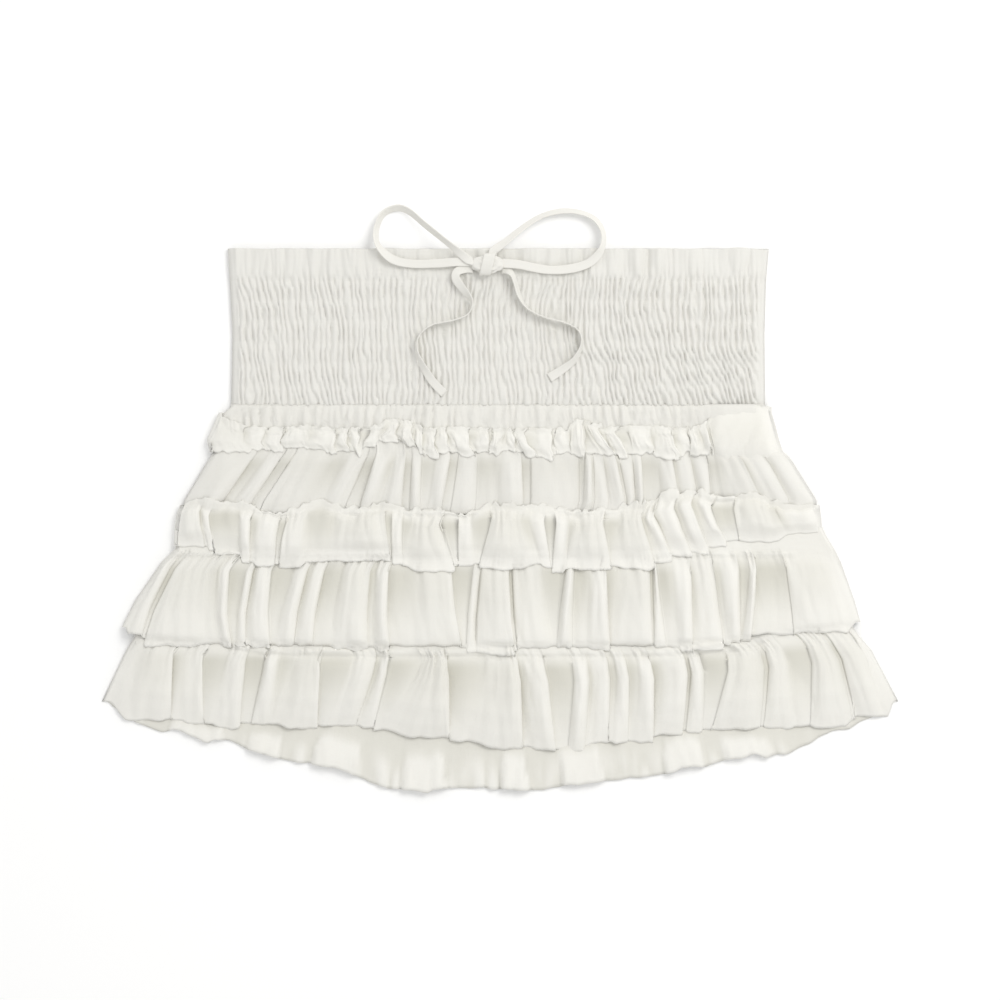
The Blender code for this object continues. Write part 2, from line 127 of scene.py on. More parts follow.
Route = namedtuple("Route", "x y z turn")  # a point of the tape, and its turn up on its edge, in degrees
LEFT_LOOP = each(Route, (
    (-16.9, 166.6, 12, 0), (-20.4, 167, 12.2, 10), (-32, 176.4, 12, 52), (-48, 189.6, 7, 56),
    (-58, 198.2, 4.2, 52), (-66, 200.8, 3.4, 49), (-74.9, 196.9, 3.4, 52), (-79.2, 187, 5.4, 56),
    (-78, 176.5, 10.4, 52), (-69, 167.6, 9.4, 10), (-56.3, 164.6, 8.8, 0), (-40.3, 164.8, 8.8, 0),
    (-28, 165.6, 10.2, 0), (-16.9, 165.6, 10.3, 0),
))
RIGHT_LOOP = each(Route, (
    (-4.4, 169.1, 10.6, 0), (-4.2, 172.6, 10.9, 5), (3.8, 178.6, 10.6, 40), (13.6, 187, 7, 52),
    (25.6, 195, 4.2, 52), (38, 198.6, 3.4, 49), (50, 198.2, 3.4, 49), (60.6, 193.8, 3.8, 52),
    (66, 185, 5.8, 56), (65.2, 174.6, 10.4, 52), (58, 165.8, 9.6, 10), (46, 161.6, 8.8, 0),
    (30, 160.8, 8.8, 0), (12, 164, 10.2, 0), (0.9, 164.8, 10.3, 0),
))
LEFT_TAIL = each(Route, (
    (-16.9, 161.4, 8.3, 0), (-21.5, 161.6, 9, 5), (-27.2, 159.6, 9.8, -10), (-28.4, 155.6, 10.2, -20),
    (-25.6, 150.8, 10.4, -30), (-21.2, 145.2, 10.2, -48), (-18, 139.6, 9.8, -72), (-20.6, 132.4, 9.8, -82),
    (-30, 128.4, 9.8, -85), (-43, 125.6, 9.8, -85), (-51.6, 118.6, 9.8, -85), (-53.4, 109.4, 9.8, -75),
    (-49.6, 99.8, 9.2, -50), (-43.2, 89.6, 7.8, -15), (-35.6, 81.6, 6.9, 0),
))
RIGHT_TAIL = each(Route, (
    (0.9, 161, 8.3, 0), (4, 160.8, 8.7, 10), (7.8, 157.6, 10.2, 50), (9.8, 152.6, 10.6, 60),
    (12.6, 143.6, 9.8, 65), (18, 135.6, 9.8, 85), (28.4, 130.4, 9.8, 85), (40, 127.4, 9.8, 85),
    (49.6, 122.4, 9.8, 85), (52.4, 114, 9.8, 80), (48.2, 104, 9.4, 55), (40.4, 97.4, 8.2, 20),
    (31.4, 91.7, 6.9, 0),
))


class Wire:
    """One output of a node. A sum or product of wires and numbers adds Math nodes to the same material."""

    def __init__(self, tree, socket):
        self.tree = tree
        self.socket = socket

    def node(self, kind, settings=None, sockets=None, output=0):
        """A new node of this material: its settings are set first, then the values or wires of its inputs."""
        made = self.tree.nodes.new(kind)
        for field, value in (settings or {}).items():
            setattr(made, field, value)
        for place, value in (sockets or {}).items():
            if isinstance(value, Wire):
                self.tree.links.new(value.socket, made.inputs[place])
            else:
                made.inputs[place].default_value = value
        return Wire(self.tree, made.outputs[output])

    def maths(self, operation, first, second=0.0):
        return self.node("ShaderNodeMath", {"operation": operation}, {0: first, 1: second})

    def __add__(self, other):
        return self.maths("ADD", self, other)

    def __sub__(self, other):
        return self.maths("SUBTRACT", self, other)

    def __rsub__(self, other):
        return self.maths("SUBTRACT", other, self)

    def __mul__(self, other):
        return self.maths("MULTIPLY", self, other)

    def sine(self):
        return self.maths("SINE", self)

    __radd__ = __add__
    __rmul__ = __mul__


THREAD_PITCH = 0.00042  # from one thread of the voile to the second next
WEAVE_HEIGHT, SLUB_HEIGHT = 0.02, 0.05  # millimetres
SLUB_WIDE, SLUB_LONG = 1100, 45  # how often a thicker thread comes in a metre, across it and along it
CRINKLES, PATCHES = 150.0, 24.0  # how often a crinkle, and a patch of a deeper tint, comes in a metre
DEEPER = (0.975, 0.968, 0.945)  # the tint of a patch, as a share of the voile's own
PAINTED_SHADE_WARMTH = (1.0, 0.99, 0.925)  # the warmer tint of the painted shade in the valleys between folds, as a share of the voile's own


def voile(name, tint, flat, painted_shade_level=1.0, crinkle=0.25):
    """Ivory cotton voile for a strip of the size flat in metres: a plain weave, thicker slub threads, and
    crinkles of the height crinkle in millimetres. Shade is painted into its colour, darker and warmer, in the
    valleys between folds, wherever its surface's painted light is below 1, down to the given share of its
    lightness."""
    material = bpy.data.materials.new(name)
    material.use_nodes = True
    tree = material.node_tree
    shader = tree.nodes["Principled BSDF"]
    node = Wire(tree, None).node
    place = node("ShaderNodeTexCoord", output="Object")
    cloth = node("ShaderNodeUVMap", {"uv_map": "cloth"})
    across = node("ShaderNodeSeparateXYZ", sockets={0: cloth}, output=0) * flat[0]
    down = node("ShaderNodeSeparateXYZ", sockets={0: cloth}, output=1) * flat[1]

    def noise_at(vector, scale, detail):
        return node("ShaderNodeTexNoise", sockets={"Vector": vector, "Scale": scale, "Detail": detail})

    def mixed(share, first, second):
        return node("ShaderNodeMix", {"data_type": "RGBA"}, {0: share, 6: first, 7: second}, output=2)

    turn = 2 * math.pi / THREAD_PITCH
    weave = (across * turn).sine() * (down * turn).sine()
    slubs = sum(
        noise_at(node("ShaderNodeCombineXYZ", sockets={0: across * wide, 1: down * long}), 1.0, 1.0)
        for wide, long in ((SLUB_WIDE, SLUB_LONG), (SLUB_LONG, SLUB_WIDE))
    )
    crinkles = noise_at(place, CRINKLES, 2.0)
    patches = noise_at(place, PATCHES, 2.0)
    height = weave * WEAVE_HEIGHT + slubs * SLUB_HEIGHT + crinkles * crinkle
    bump = node("ShaderNodeBump", sockets={"Strength": 1.0, "Distance": MM, "Height": height})

    deep_tint = tuple(value * deep for value, deep in zip(tint, DEEPER))
    # Painted shade: where the painted light attribute falls, the tint turns to a darker, warmer copy of itself.
    painted_shade_tint = tuple(value * painted_shade_level * warm for value, warm in zip(tint, PAINTED_SHADE_WARMTH))
    doubled = node("ShaderNodeAttribute", {"attribute_name": "doubled"}, output=2)
    tone = mixed((slubs - 0.5) * 0.5 + patches * 0.5, (*deep_tint, 1), (*tint, 1))
    tone = mixed(doubled, (*painted_shade_tint, 1), tone)
    tree.links.new(tone.socket, shader.inputs["Base Color"])
    tree.links.new((patches * 0.12 + 0.80).socket, shader.inputs["Roughness"])
    tree.links.new(bump.socket, shader.inputs["Normal"])
    shader.inputs["Sheen Weight"].default_value = 0.12
    shader.inputs["Sheen Roughness"].default_value = 0.45
    shader.inputs["Specular IOR Level"].default_value = 0.2
    return material


def in_metres(rings):
    return [[Vector((*point.xyz * MM, *point[3:])) for point in ring] for ring in rings]


def wrapped_grid(rings, guide=-1):
    """A grid of cloth bent round through rings of points, one of its rows for each, and merged where its
    sides meet. Its UV map is the flat cloth: across by the guide ring's own spacing, and down by the rows'
    spacing. A point's fourth number, if any, is its painted light: 1 for the full tint, less where shade is
    painted into its colour."""
    painted_lights = [[point[3] if len(point) > 3 else 1.0 for point in ring] for ring in rings]
    rings = [[point.xyz for point in ring] for ring in rings]
    columns = len(rings[0])
    bm = bmesh.new()
    uv = bm.loops.layers.uv.new("cloth")
    doubled = bm.verts.layers.float.new("doubled")
    bmesh.ops.create_grid(bm, x_segments=columns, y_segments=len(rings) - 1, size=1)
    bm.verts.ensure_lookup_table()
    across, down = [0.0], [0.0]
    for column in range(columns):
        across.append(across[-1] + (rings[guide][column] - rings[guide][(column + 1) % columns]).length)
    for ring, following in zip(rings, rings[1:]):
        down.append(down[-1] + sum((a - b).length for a, b in zip(ring, following)))
    for face in bm.faces:
        for loop in face.loops:
            row, column = divmod(loop.vert.index, columns + 1)
            loop[uv].uv = (across[column] / across[-1], down[row] / down[-1])
    for vertex in bm.verts:
        row, column = divmod(vertex.index, columns + 1)
        vertex.co = rings[row][column % columns]
        vertex[doubled] = painted_lights[row][column % columns]
    bmesh.ops.remove_doubles(bm, verts=bm.verts, dist=1e-6)
    return bm


def sewn_piece(name, bm, material, node, thick=0.0):
    """Makes a bmesh a piece of the skirt, which stands for its solid and takes its finish from a slot."""
    bmesh.ops.recalc_face_normals(bm, faces=bm.faces)
    piece = placed(name, mesh_of(name, bm))
    piece.data.materials.append(material)
    piece.data.shade_smooth()
    if thick:
        wall = piece.modifiers.new("cloth_thickness", "SOLIDIFY")
        wall.thickness = thick
        wall.offset = -1
    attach(piece, "root")
    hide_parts(node)
    return piece


def curve_through(a, b, c, d, t):
    """A value a share t of the way from b to c, on a smooth curve that comes from a and goes on to d."""
    bend = (2 * a - 5 * b + 4 * c - d) * t**2 + (3 * b - a - 3 * c + d) * t**3
    return b + 0.5 * ((c - a) * t + bend)


def smooth_route(route):
    """Points about a tape step apart on a smooth curve through a route's own points."""
    ends = (route[0],) + route + (route[-1],)
    points = []
    for before, start, end, after in zip(ends, ends[1:], ends[2:], ends[3:]):
        steps = max(1, round(math.dist(start[:3], end[:3]) / TAPE_STEP))
        for step in range(steps):
            point = (curve_through(*values, step / steps) for values in zip(before, start, end, after))
            points.append(Route(*point))
    return points + [route[-1]]


def tape_outline(hollow):
    """Steps round a flat tape, out and up from -1 to 1. Its middle is thinner by the share hollow."""
    for step in range(TAPE_SIDES):
        angle = 2 * math.pi * step / TAPE_SIDES
        out = math.copysign(abs(math.cos(angle)) ** 0.75, math.cos(angle))
        up = math.copysign(abs(math.sin(angle)) ** 0.6, math.sin(angle))
        yield out, up * (1 - hollow * (1 - out * out))


def tape_section(middle, ahead, turn, width):
    """The ring of points round the tape at one place."""
    side = ahead.cross(Vector((0, 0, 1))).normalized()
    lift = side.cross(ahead)
    across = side * math.cos(turn) + lift * math.sin(turn)
    face = across.cross(ahead).normalized()
    return [
        middle + across * out * width / 2 + face * up * TAPE_THICK / 2
        for out, up in tape_outline(TAPE_HOLLOW)
    ]


def tape_mesh(route):
    """A stretch of tape along its route, with a cut end at each side, and its centreline in metres."""
    points = smooth_route(route)
    line = [Vector(point[:3]) for point in points]
    seed = route[0].x * 0.09
    rings = []
    for place, (point, middle) in enumerate(zip(points, line)):
        ahead = (line[min(place + 1, len(line) - 1)] - line[max(place - 1, 0)]).normalized()
        sway = TAPE_SWAY * noise.noise(Vector((place * 0.09, seed, 0)))
        width = TAPE_WIDTH * (0.96 + 0.06 * noise.noise(Vector((place * 0.13, 7, seed))))
        rings.append(tape_section(middle, ahead, math.radians(point.turn + sway), width))
    bm = wrapped_grid(in_metres(rings), guide=0)
    bmesh.ops.holes_fill(bm, edges=[edge for edge in bm.edges if edge.is_boundary], sides=0)
    return bm, [point * MM for point in line]


def route_length(line):
    return sum((a - b).length for a, b in zip(line, line[1:]))


tape_voile = voile("drawstring_voile", TAPE_TINT, TAPE_CUT, crinkle=0.12)
tape_pieces = []
for tape_name, tape_route, tape_end in (
    ("drawstring_left_loop", LEFT_LOOP, "object"),
    ("drawstring_right_loop", RIGHT_LOOP, "object"),
    ("drawstring_left_tail", LEFT_TAIL, "bare"),
    ("drawstring_right_tail", RIGHT_TAIL, "bare"),
):
    tape_bm, tape_line = tape_mesh(tape_route)
    tape = sewn_piece(tape_name + "_tape", tape_bm, tape_voile, tape_name)
    route_length(tape_line)
    tape_pieces.append(tape)

# Knot of the bow.
# The tape drawn round itself at the centre front: a small crumpled bundle with one wrap of the tape across
# it that holds the loops and the tails.
KNOT_PLACE = Vector((-8.0, 164.0, 10.6))
KNOT_SIZE = Vector((20.6, 12.4, 6.4))
WRAP_WIDTH = 7.4
WRAP_THICK = 1.2
WRAP_STEPS = 40
WRAP_OUT = 0.53  # how far from the knot's middle it runs, as a share of the knot's size
WRAP_LEAN = 1.6
WRAP_CREASE = 0.6
WRAP_HOLLOW = 0.3

knot_bm = bmesh.new()
bmesh.ops.create_uvsphere(knot_bm, u_segments=48, v_segments=32, radius=0.5)
knot_uv = knot_bm.loops.layers.uv.new("cloth")
knot_painted_light = knot_bm.verts.layers.float.new("doubled")
for face in knot_bm.faces:
    for loop in face.loops:
        loop[knot_uv].uv = (loop.vert.co.x + 0.5, loop.vert.co.y + 0.5)
for vertex in knot_bm.verts:
    spot = vertex.co.copy()
    blunt = math.copysign(abs(2 * spot.x) ** 1.6 / 2, spot.x)
    crease = 1 + 0.35 * noise.noise(Vector((spot.x * 2.0, spot.y * 7, spot.z * 7 + 4)))
    full = crease * (1 - 0.25 * abs(2 * blunt)) / max(math.hypot(2 * spot.y, 2 * spot.z), 0.3) ** 0.6
    vertex.co = (KNOT_PLACE + Vector((blunt, spot.y * full, spot.z * full)) * KNOT_SIZE) * MM
    # The knot has no painted shade.
    vertex[knot_painted_light] = 1.0
wrap_rings = []
for step in range(WRAP_STEPS + 1):
    round_knot = 2 * math.pi * (step % WRAP_STEPS) / WRAP_STEPS
    outward = Vector((0, math.cos(round_knot), math.sin(round_knot)))
    middle = KNOT_PLACE + Vector((WRAP_LEAN * math.cos(round_knot), 0, 0))
    middle += outward * KNOT_SIZE * WRAP_OUT
    ring = []
    for out, up in tape_outline(WRAP_HOLLOW):
        crease = WRAP_CREASE * abs(noise.noise(Vector((out * 2.6, math.sin(round_knot), 5))))
        ring.append(middle + Vector((out * WRAP_WIDTH / 2, 0, 0)) + outward * (up * WRAP_THICK / 2 + crease))
    wrap_rings.append(ring)
knot_bm.from_mesh(mesh_of("wrap", wrapped_grid(in_metres(wrap_rings), guide=0)))
knot = sewn_piece("drawstring_bow_knot", knot_bm, tape_voile, "drawstring_knot")
tape_pieces.append(knot)

# Waistband.
# One strip of voile all round. Its top is folded over into a soft frill with the casing of the drawstring
# under it, and the band below is drawn up by seven rows of elastic thread into small upright puckers.
WAIST_VOILE = (0.762, 0.755, 0.722)
WAIST_CUT = (0.85, 0.102)
HEADER_TOP, CASING_LINE, BAND_END = 174.8, 154.6, 73.9  # its top fold, its casing and its lower seam
HEADER_LEVEL, BAND_LEVEL = 5.2, 4.2
HEADER_ROUND = 1.2  # how much lower the top fold itself lies
WAIST_WALL = 1.1  # from the outside of its cloth to the inside of the tube
WAIST_COLUMNS, WAIST_BACKS = 665, 48  # of points across its front and its back
ELASTIC_ROWS = (155.0, 141.6, 128.2, 114.7, 100.6, 87.2, 73.9)
PUCKER_PITCH = 3.6
PUCKER_RISE = 2.5
ROLL = 2.5  # how far in from a side fold the front wall reaches its full height

Side = namedtuple("Side", "y left right")  # where the two side folds lie at a level
WAIST_SIDES = each(Side, (
    (174.8, -174.6, 172.4), (154.6, -173.4, 170.6), (120, -171.6, 169.6), (73.8, -172.4, 170),
))


def between(a, b, share):
    return a + (b - a) * share


def smooth(share):
    """A share that starts and ends gently."""
    share = min(max(share, 0), 1)
    return share * share * (3 - 2 * share)


def along(table, key, at, wanted):
    """The wanted column of a table at a value of its key column, straight between two rows."""
    rows = sorted(table, key=lambda row: getattr(row, key))
    for low, high in zip(rows, rows[1:]):
        if at <= getattr(high, key):
            break
    span = getattr(high, key) - getattr(low, key)
    share = min(max((at - getattr(low, key)) / span, 0), 1)
    return between(getattr(low, wanted), getattr(high, wanted), share)


def ripple(x, y, seed):
    """Soft noise from about -1 to 1."""
    return 1.6 * noise.noise(Vector((x, y, seed)))


def ridges(x, y, seed):
    """Noise from 0 to about 1, in round ridges with sharp valleys."""
    return 2 * abs(noise.noise(Vector((x, y, seed))))


def near(distance, reach):
    """1 on a row of stitches, and less away from it."""
    return math.exp(-(distance / reach) ** 2)


def puckers(x, y):
    """Height of the shirring: round puckers that wander, lean and are pinched at each row of elastic."""
    lean = 0.06 + 0.14 * ripple(x / 60, y / 45, 3)
    lean += 0.30 * smooth((x - 30) / 40) * smooth((118 - y) / 20)
    stray = 0.42 * ripple(x / 9, y / 24, 11) + 0.20 * ripple(x / 5, y / 6, 12)
    phase = (x + lean * (y - 115)) / PUCKER_PITCH + stray
    round_top = abs(math.sin(math.pi * phase)) ** 0.75
    split = ridges(x / 3.1, y / 15, 20.5)
    row = min(abs(y - elastic) for elastic in ELASTIC_ROWS)
    puff = 0.74 + 0.26 * smooth(row / 5)
    puff *= 1 + 0.3 * smooth((x - 20) / 60)
    return PUCKER_RISE * puff * (0.75 * round_top + 0.35 * split) - 0.2 * near(row, 0.8)


def header_pleats(x, y):
    """Height of the header frill's soft pleats, tighter where they come out of the casing."""
    rise = smooth((y - CASING_LINE) / 12)
    broad = ridges(x / 13, y / 50, 31) + 0.6 * ripple(x / 7, y / 40, 32)
    fine = ridges(x / 3.8, y / 25, 33)
    return 2.0 * broad * (0.4 + 0.6 * rise) + fine * between(1.5, 0.6, rise)


def waist_ring(y, plain=False):
    """One ring of the waistband: its puckered front, and its plain back that lies on the table. A plain ring
    belongs to the inside of the tube."""
    left, right = along(WAIST_SIDES, "y", y, "left"), along(WAIST_SIDES, "y", y, "right")
    in_header = smooth((y - CASING_LINE) / 3)
    level = between(BAND_LEVEL, HEADER_LEVEL, in_header) - (HEADER_ROUND if y > HEADER_TOP - 0.1 else 0)
    wall = WAIST_WALL if plain else 0
    ring = [Vector((left + wall, y, level / 2))]
    for column in range(WAIST_COLUMNS + 1):
        x = between(left + ROLL, right - ROLL, column / WAIST_COLUMNS)
        inside = smooth(min(column, WAIST_COLUMNS - column) / 8)
        rise = between(puckers(x, y), header_pleats(x, y), in_header) * inside
        wave = 0.5 * ripple(x / 16, 0, 41) * smooth((y - 165) / 9)
        ring.append(Vector((x, y + wave, level + (0 if plain else rise) - wall)))
    ring.append(Vector((right - wall, y, level / 2)))
    for column in range(WAIST_BACKS + 1):
        ring.append(Vector((between(right - ROLL, left + ROLL, column / WAIST_BACKS), y, wall)))
    return ring


surfaces = {}  # of the skirt's rows, by node, for what rests on them
waist_heights = [HEADER_TOP, HEADER_TOP - 0.5]
waist_heights += [between(HEADER_TOP - 1.6, CASING_LINE + 1.5, step / 9) for step in range(10)]
waist_heights += [between(CASING_LINE, BAND_END, step / 50) for step in range(51)]
waist_rings = [waist_ring(y) for y in waist_heights]
waist_rings += [waist_ring(y, plain=True) for y in (BAND_END, ELASTIC_ROWS[3], CASING_LINE, HEADER_TOP - 0.6)]
waist_bm = wrapped_grid(in_metres(waist_rings), guide=0)
bmesh.ops.bridge_loops(waist_bm, edges=[edge for edge in waist_bm.edges if edge.is_boundary])
surfaces["waistband"] = BVHTree.FromBMesh(waist_bm)
waist_voile = voile("waistband_voile", WAIST_VOILE, WAIST_CUT, crinkle=0.1)
waistband = sewn_piece("smocked_waistband", waist_bm, waist_voile, "waistband")

# Top tier.
# A plain strip of voile gathered into the lower edge of the band. Its folds run down from the seam of the
# narrow frill and are caught again in the seam with the middle tier.
TOP_VOILE = (0.80, 0.791, 0.755)
TOP_CUT = (1.05, 0.075)
TOP_START, FRILL_SEAM, TOP_END = BAND_END + 1.1, 56, 4.3
PUFF_START = 124  # from here to the right the frill is a puff, and what lies under it is raised
PAINTED_SHADE_LEVEL = 0.77  # painted shade: how light voile is painted in the valleys between folds, as a share of its tint
CLOTH_THICK = 0.5
CURL = 2.6  # most that the foot of a fold is tucked under its edge
BROAD_PAINTED_SHADE = 0.36  # how much painted shade darkens the middle of the broadest fold
GATHERED_PAINTED_LIGHT = 0.9  # painted light where the voile is gathered tight, so it carries only slight painted shade
HEM_PAINTED_LIGHT, HEM_PAINTED_LIGHT_AT = 0.85, 0.9  # painted light all over near its hem, which lifts its painted shade, and from where on
LAYER_GAP = 0.35  # from a piece of cloth up to the outside of what lies on it
BACK_LEVEL = 3.0  # the back walls lie lower than this, and carry nothing
SLACK = 0.12  # how much of its folds is left where it lies on another piece
FEELERS = (-2.5, 0, 2.5)  # how far beside a point the cloth under it is looked for
CLEAR_LEVEL = 100  # well above all the cloth

Edge = namedtuple("Edge", "x y")  # a point of an upper edge or a hem
# A row: a share of the way down, the front's level there, the share of its folds, the back's level.
Row = namedtuple("Row", "down valley swell back", defaults=[0])
# A fold: its feet where it opens and at its hem, its height, its lean from -1 to 1, and its hem's level.
Fold = namedtuple("Fold", "top_left top_right left right rise lean hem", defaults=[TOP_END])
Column = namedtuple("Column", "top foot curl rise hem doubled place")  # a line of points down the cloth
Rest = namedtuple("Rest", "surface share")  # cloth that another piece lies on, and how far it has settled

TOP_SIDES = each(Side, (
    (73.8, -172.4, 170), (66, -180.5, 173), (46, -182.4, 179.4), (42, -185, 184.4),
    (37, -188.5, 188.2), (13.6, -202.4, 202.8), (4.3, -204.6, 203.4),
))
TOP_ROWS = each(Row, (
    (0, 5, 0), (0.05, 6.2, 0, 0.8), (0.4, 6.8, 0.04, 1.5), (0.47, 6.6, 0.14, 1.5),
    (0.56, 5.5, 0.52, 1.5), (0.66, 4.9, 0.78, 1.5), (0.82, 4.9, 0.78, 1.5), (0.89, 5, 0.6, 1.5),
    (0.94, 5.4, 0.3, 1.5), (1, 6, 0.1, 1.5),
))
TOP_FOLDS = each(Fold, (
    (-186, -157, -204, -182, 7, 0.5),
    (-149, -139, -176, -163, 6, 0.3),
    (-132, -106, -156, -128, 5, -0.3),
    (-98, -85, -118, -101, 4, 0.2),
    (-80, -70, -91, -81, 7, -0.5),
    (-68, -61, -79, -63, 7, 0.3),
    (-57, -51, -58, -51, 6, 0),
    (-42, -32, -47, -38, 7, 0.4),
    (-27, -15, -32, -16, 2, 0),
    (-1, 13, -2, 15, 8, 0.5),
    (19, 50, 19, 50, 3, 0),
    (54, 58, 52, 59, 7, 0),
    (59, 65, 60, 70, 3, 0),
    (66, 73, 73, 81, 6, 0.3),
    (75, 84, 82, 86, 3, 0),
    (84, 90, 87, 91, 6, 0.2),
    (100, 109, 102, 115, 6, 0.4),
    (111, 121, 115, 127, 3, 0.2),
    (122, 132, 128, 134, 4, 0.2),
    (138, 152, 146, 170, 3.5, 0.3),
    (153, 168, 172, 188, 4, 0.3),
    (169, 182, 190, 204, 3, 0.3),
))


FLANK_TURN = 0.78  # the share of a flank's way at which it turns in under its edge
FLANK_EDGE = 0.62  # how high that edge stands on the steepest flank


def fold_flank(share, steep, foot):
    """Half a fold's section, from its crest at 0 to its foot at 1: how far out, how far under, how high."""
    edge = foot + (FLANK_EDGE - foot) * max(1.7 * steep - 0.7, 0) ** 0.7
    if share < FLANK_TURN:
        out = share / FLANK_TURN
        return out, 0, between(1, edge, between(smooth(out), out ** 3.5, steep))
    under = smooth((share - FLANK_TURN) / (1 - FLANK_TURN))
    return 1, max(2 * steep - 1, 0) * under, between(edge, foot, under)


def foot_height(gentle):
    """How high a flank ends, as a share of its fold: a gentle one runs out high over the valley beside it."""
    return 0.08 + 0.4 * gentle


def most_tuck(fold):
    """How far the foot of a fold's steepest flank is tucked under its edge."""
    return min(CURL, 0.32 * fold.rise)


def painted_light_at(height):
    """Painted light at a share of its fold's height: full high on a fold, and painted shade low down towards
    its valleys.
    """
    return smooth((height - 0.1) / 0.75)


def fold_columns(folds, corners, spacing, retreat):
    """The columns of points across a front wall of folds. Between two folds its hem draws up by retreat, and
    at its ends it runs out to the levels corners."""
    columns = []
    for place, fold in enumerate(folds):
        half = max(6, round((fold.right - fold.left + 2 * fold.rise) / spacing / 2))
        for step in range(-half, half + 1):
            onward = step > 0
            other = place + (1 if onward else -1)
            steep = 0.5 + (0.5 if onward else -0.5) * fold.lean
            if 0 <= other < len(folds):
                foot, foot_hem = foot_height(1 - steep), (fold.hem + folds[other].hem) / 2 + retreat
            else:
                foot, foot_hem = 0, corners[other > place]
            out, under, height = fold_flank(abs(step) / half, steep, foot)
            under *= most_tuck(fold) if foot else 0
            spots = []
            for left, right in ((fold.top_left, fold.top_right), (fold.left, fold.right)):
                crest = between(left, right, 0.5 + 0.38 * fold.lean)
                spots.append(between(crest, right if onward else left, out))
            hem = between(foot_hem, fold.hem, smooth((height - foot) / 0.4))
            curl = -under if onward else under
            # Painted light: full on a fold's upper part, with painted shade low on its flanks and in the middle
            # of the broadest folds.
            inside = smooth((fold.right - fold.left - 12) / 18) * smooth(2.4 * (1 - abs(step) / half) - 0.6)
            doubled = (painted_light_at(height) if foot else 1) * (1 - BROAD_PAINTED_SHADE * inside)
            columns.append(Column(*spots, curl, fold.rise * height, hem, doubled, 0))
        if place + 1 < len(folds):
            following = folds[place + 1]
            last = columns[-1]
            climb = following.rise * foot_height(0.5 + 0.5 * following.lean)
            tuck = max(-following.lean, 0) * most_tuck(following)
            parts = max(1, round((following.left - fold.right + 4) / spacing / 1.3))
            # Across the gap to the next fold, shade is painted in, lighter as the cloth climbs the next fold.
            for part in range(1, parts):
                share = part / parts
                columns.append(Column(
                    between(last.top, following.top_left, share), between(last.foot, following.left, share),
                    between(last.curl, tuck, share), between(last.rise, climb, smooth(share)), last.hem,
                    painted_light_at(between(last.doubled, climb / following.rise, share)), 0,
                ))
    total, measured = 0.0, []
    for before, column in zip([columns[0]] + columns, columns):
        total += math.hypot(column.foot - before.foot, column.rise - before.rise)
        measured.append(column._replace(place=total))
    return measured


def line_down(top, middle, foot, open_at, down):
    """A share across the tier on a line from its top, through its middle at open_at, straight to its foot."""
    slope = (foot - middle) / (1 - open_at)
    if down > open_at:
        return middle + slope * (down - open_at)
    t = down / open_at
    return between(top, middle, smooth(t)) + slope * open_at * (t - 1) * t * t


def gathers(place, below, seed):
    """Small gathers some way below their seam: round ridges with sharp valleys, which fade and merge."""
    fine = ridges(place / 6.5, below / 40, seed)
    broad = ridges(place / 14, below / 70, seed + 5.3)
    return 1.9 * fine * math.exp(-max(below, 0) / 9) + 1.7 * broad * math.exp(-max(below, 0) / 34)


def creases(place, y, seed):
    """Long soft creases that run down a hanging fold."""
    sharp = ridges(place / 13 + y / 90, y / 60, seed + 1.9)
    broad = 0.9 * ripple(place / 27, y / 50, seed + 6.2) + 0.8 * ripple(place / 12, y / 55, seed)
    return broad + 0.9 * sharp + 0.35 * ripple(place / 4, y / 22, seed + 3.7)


def near_hem(down):
    """How near a point is to the free hem, from 0 a little past the middle to 1 at the hem."""
    return smooth((down - 0.6) / 0.4)


def corners_at(sides, head, hem, down):
    """The side folds of a row: the level at which each edge reaches it, and its place there."""
    spots = []
    for end, wanted in ((0, "left"), (-1, "right")):
        y = between(head[end].y, hem[end].y, down)
        spots.append(Vector((along(sides, "y", y, wanted), y, 0, 1)))
    return spots


def settled(point, fold, down, rests):
    """The level of a point of cloth once it has come to rest on the pieces that lie under it."""
    level = point.z
    for rest in rests:
        share = rest.share(point.x, point.y, down)
        if share > 0:
            starts = [Vector((point.x + aside, point.y, CLEAR_LEVEL)) * MM for aside in FEELERS]
            hits = [rest.surface.ray_cast(start, Vector((0, 0, -1)))[0] for start in starts]
            grounds = [hit.z / MM for hit in hits if hit and hit.z > BACK_LEVEL * MM]
            if grounds:
                ground = max(grounds) + LAYER_GAP
                level = max(between(level, ground + SLACK * fold, share), ground)
    return level


